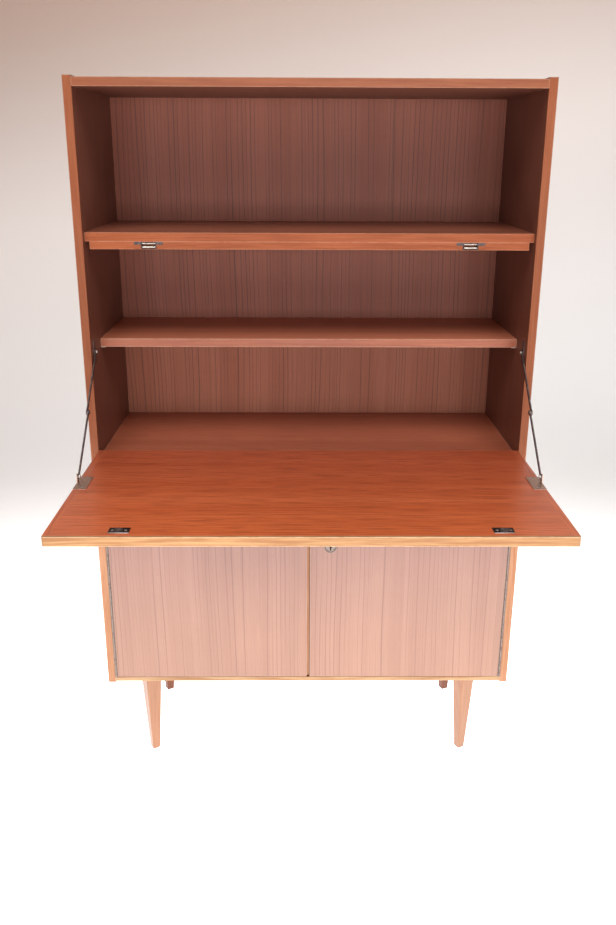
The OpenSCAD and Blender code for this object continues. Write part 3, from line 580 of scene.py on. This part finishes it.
def build_screw_heads():
    """Slotted raised heads on every screw, each slot at its own angle."""
    for name in ("carcass_screws", "flap_screws", "door_screws_left", "door_screws_right"):
        bm = bmesh.new()
        for index, points in enumerate(separate_solids(name)):
            centre, facing, radius = screw_head(points)
            for side in (-1, 1):
                half_head(bm, centre, facing, radius * HEAD_SHARE, index * SLOT_TURN, side)
        add_part(name + "_heads", bm, SLOT_OF[name], BODY_OF[name], LOOK_OF.get(name))


def build_escutcheon_rim():
    """A raised bead round the keyhole plate."""
    low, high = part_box("escutcheon")
    outer = (high[0] - low[0]) / 2
    bead, bead_r = outer - 1.6 * MM, 0.8 * MM
    middle = Vector(((low[0] + high[0]) / 2, low[1], (low[2] + high[2]) / 2))
    around, section = 64, 10
    bm = bmesh.new()
    rings = []
    for i in range(around):
        a = 2 * math.pi * i / around
        out = Vector((math.cos(a), 0.0, math.sin(a)))
        ring = []
        for j in range(section):
            b = 2 * math.pi * j / section
            ring.append(bm.verts.new(middle + out * (bead + bead_r * math.cos(b))
                                     + Vector((0.0, bead_r * math.sin(b), 0.0))))
        rings.append(ring)
    for i in range(around):
        bridge(bm, rings[i], rings[(i + 1) % around])
    add_part("escutcheon_rim", bm, "steel_dark", BODY_OF["escutcheon"])


def build_strike_lips():
    """The polished, rounded near edge of each strike."""
    low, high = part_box("strike_plates")
    plate_w, plate_t, depth, steps = 34 * MM, 1 * MM, 1.5 * MM, 16
    circle = [2 * math.pi * step / steps for step in range(steps)]
    bm = bmesh.new()
    for outer, inward in ((low[0], 1), (high[0], -1)):
        rings = []
        for share, scale in ((0.0, 0.6), (0.02, 1.0), (0.98, 1.0), (1.0, 0.6)):
            x = outer + inward * plate_w * share
            middle = Vector((x, low[1] + depth * 0.6, low[2] + plate_t * 0.55))
            rings.append([middle + scale * Vector((0.0, -depth * math.cos(a), plate_t / 2 * math.sin(a)))
                          for a in circle])
        solid_rings(bm, rings)
    add_part("strike_lips", bm, "steel_light", BODY_OF["strike_plates"])


# ---------------------------------------------------------------- stage, light, camera

# the floor paper is lit through: strength of its glow, how far ahead of the desk it is centred, its fade
GLOW = 2.6
GLOW_AHEAD = 1.0
GLOW_FADE = (0.6, 4.2)
# its strength falls to nothing at this height
GLOW_TOP = 0.5
# the paper's white low down, then darker pinkish grey at the desk's height and above it, painted shade; the
# painted shade also deepens to the left
PAPER_AND_PAINTED_SHADE = ((0.90, 0.90, 0.90), (0.78, 0.72, 0.69), (0.38, 0.27, 0.22))
PAINTED_SHADE_LEAN = -0.20
# the levels between which each of these colours turns into the next
LOWER_TURN, UPPER_TURN = (-0.2, 1.2), (1.0, 2.5)


def sweep_material():
    """White paper: clean and glowing near the floor, with painted shade in pinkish grey towards the top and
    to the left.
    """
    shader = Shader("paper_sweep")
    place = shader.place()
    level = shader.plus(place[2], shader.times(place[0], PAINTED_SHADE_LEAN))
    colour = shader.mix(shader.step(level, *LOWER_TURN), PAPER_AND_PAINTED_SHADE[0], PAPER_AND_PAINTED_SHADE[1])
    colour = shader.mix(shader.step(level, *UPPER_TURN), colour, PAPER_AND_PAINTED_SHADE[2])
    ahead = shader.plus(place[1], GLOW_AHEAD)
    away = shader.plus(shader.times(place[0], place[0]), shader.times(ahead, ahead))
    glow = shader.step(shader.math("SQRT", away), *GLOW_FADE, 1.0, 0.0)
    glow = shader.times(shader.times(glow, glow), shader.step(place[2], 0.0, GLOW_TOP, GLOW, 0.0))
    shader.set(Base_Color=colour, Emission_Strength=glow)
    shader.surface.inputs["Emission Color"].default_value = (1.0, 0.99, 1.0, 1.0)
    shader.surface.inputs["Roughness"].default_value = 0.9
    return shader.material


def build_sweep():
    """Pale paper: a floor that curves up into a wall behind the desk."""
    half_width, front, bend_start, radius, top = 6.0, -6.0, 1.9, 1.4, 6.0
    profile = [(front, 0.0), (bend_start, 0.0)]
    steps = 24
    for i in range(1, steps + 1):
        a = math.radians(90) * i / steps
        profile.append((bend_start + radius * math.sin(a), radius * (1 - math.cos(a))))
    profile.append((bend_start + radius, top))
    bm = bmesh.new()
    rows = [[bm.verts.new((x, y, z)) for x in (-half_width, half_width)] for y, z in profile]
    for a, b in zip(rows, rows[1:]):
        bm.faces.new((a[0], a[1], b[1], b[0]))
    sweep = add_piece("paper_sweep", bm, sweep_material(), 80)


def area_light(name, place, target, size, power, colour):
    data = bpy.data.lights.new(name, "AREA")
    data.shape = "RECTANGLE"
    data.size, data.size_y = size
    data.energy = power
    data.color = colour
    light = bpy.data.objects.new(name, data)
    light.location = place
    light.rotation_mode = "QUATERNION"
    light.rotation_quaternion = (Vector(target) - Vector(place)).to_track_quat("-Z", "Y")
    bpy.context.scene.collection.objects.link(light)


def build_light():
    world = bpy.data.worlds.new("soft_room")
    world.use_nodes = True
    sky = world.node_tree.nodes["Background"]
    sky.inputs["Color"].default_value = (1.0, 0.96, 0.94, 1.0)
    sky.inputs["Strength"].default_value = 0.15
    bpy.context.scene.world = world
    area_light("top_light", (0.0, -1.7, 3.4), (0.0, 0.0, 0.8), (3.0, 1.4), 92.0, (1.0, 0.98, 0.97))
    area_light("front_light", (0.2, -3.6, 1.15), (0.0, 0.3, 0.9), (3.0, 1.0), 82.0, (1.0, 0.97, 0.95))
    area_light("wall_light", (0.0, 1.5, 3.6), (0.0, 3.2, 1.2), (5.0, 0.6), 62.0, (1.0, 0.97, 0.95))


def build_camera():
    data = bpy.data.cameras.new("camera")
    data.lens = LENS
    data.sensor_width = 36.0
    camera = bpy.data.objects.new("camera", data)
    turn = (Matrix.Rotation(YAW, 3, "Z") @ Matrix.Rotation(math.pi / 2 - PITCH, 3, "X")
            @ Matrix.Rotation(ROLL, 3, "Z"))
    camera.matrix_world = Matrix.Translation(EYE) @ turn.to_4x4()
    bpy.context.scene.collection.objects.link(camera)
    bpy.context.scene.camera = camera


METAL_MATERIALS = {look_name: metal_material(look_name) for look_name in METALS}
for node_name in NODES:
    if SLOT_OF[node_name] in METALS:
        finish_metal(node_name)
    else:
        finish_wood(node_name)
build_screw_heads()
build_escutcheon_rim()
build_strike_lips()
build_sweep()
build_light()
build_camera()
bpy.context.scene.view_settings.view_transform = "Standard"
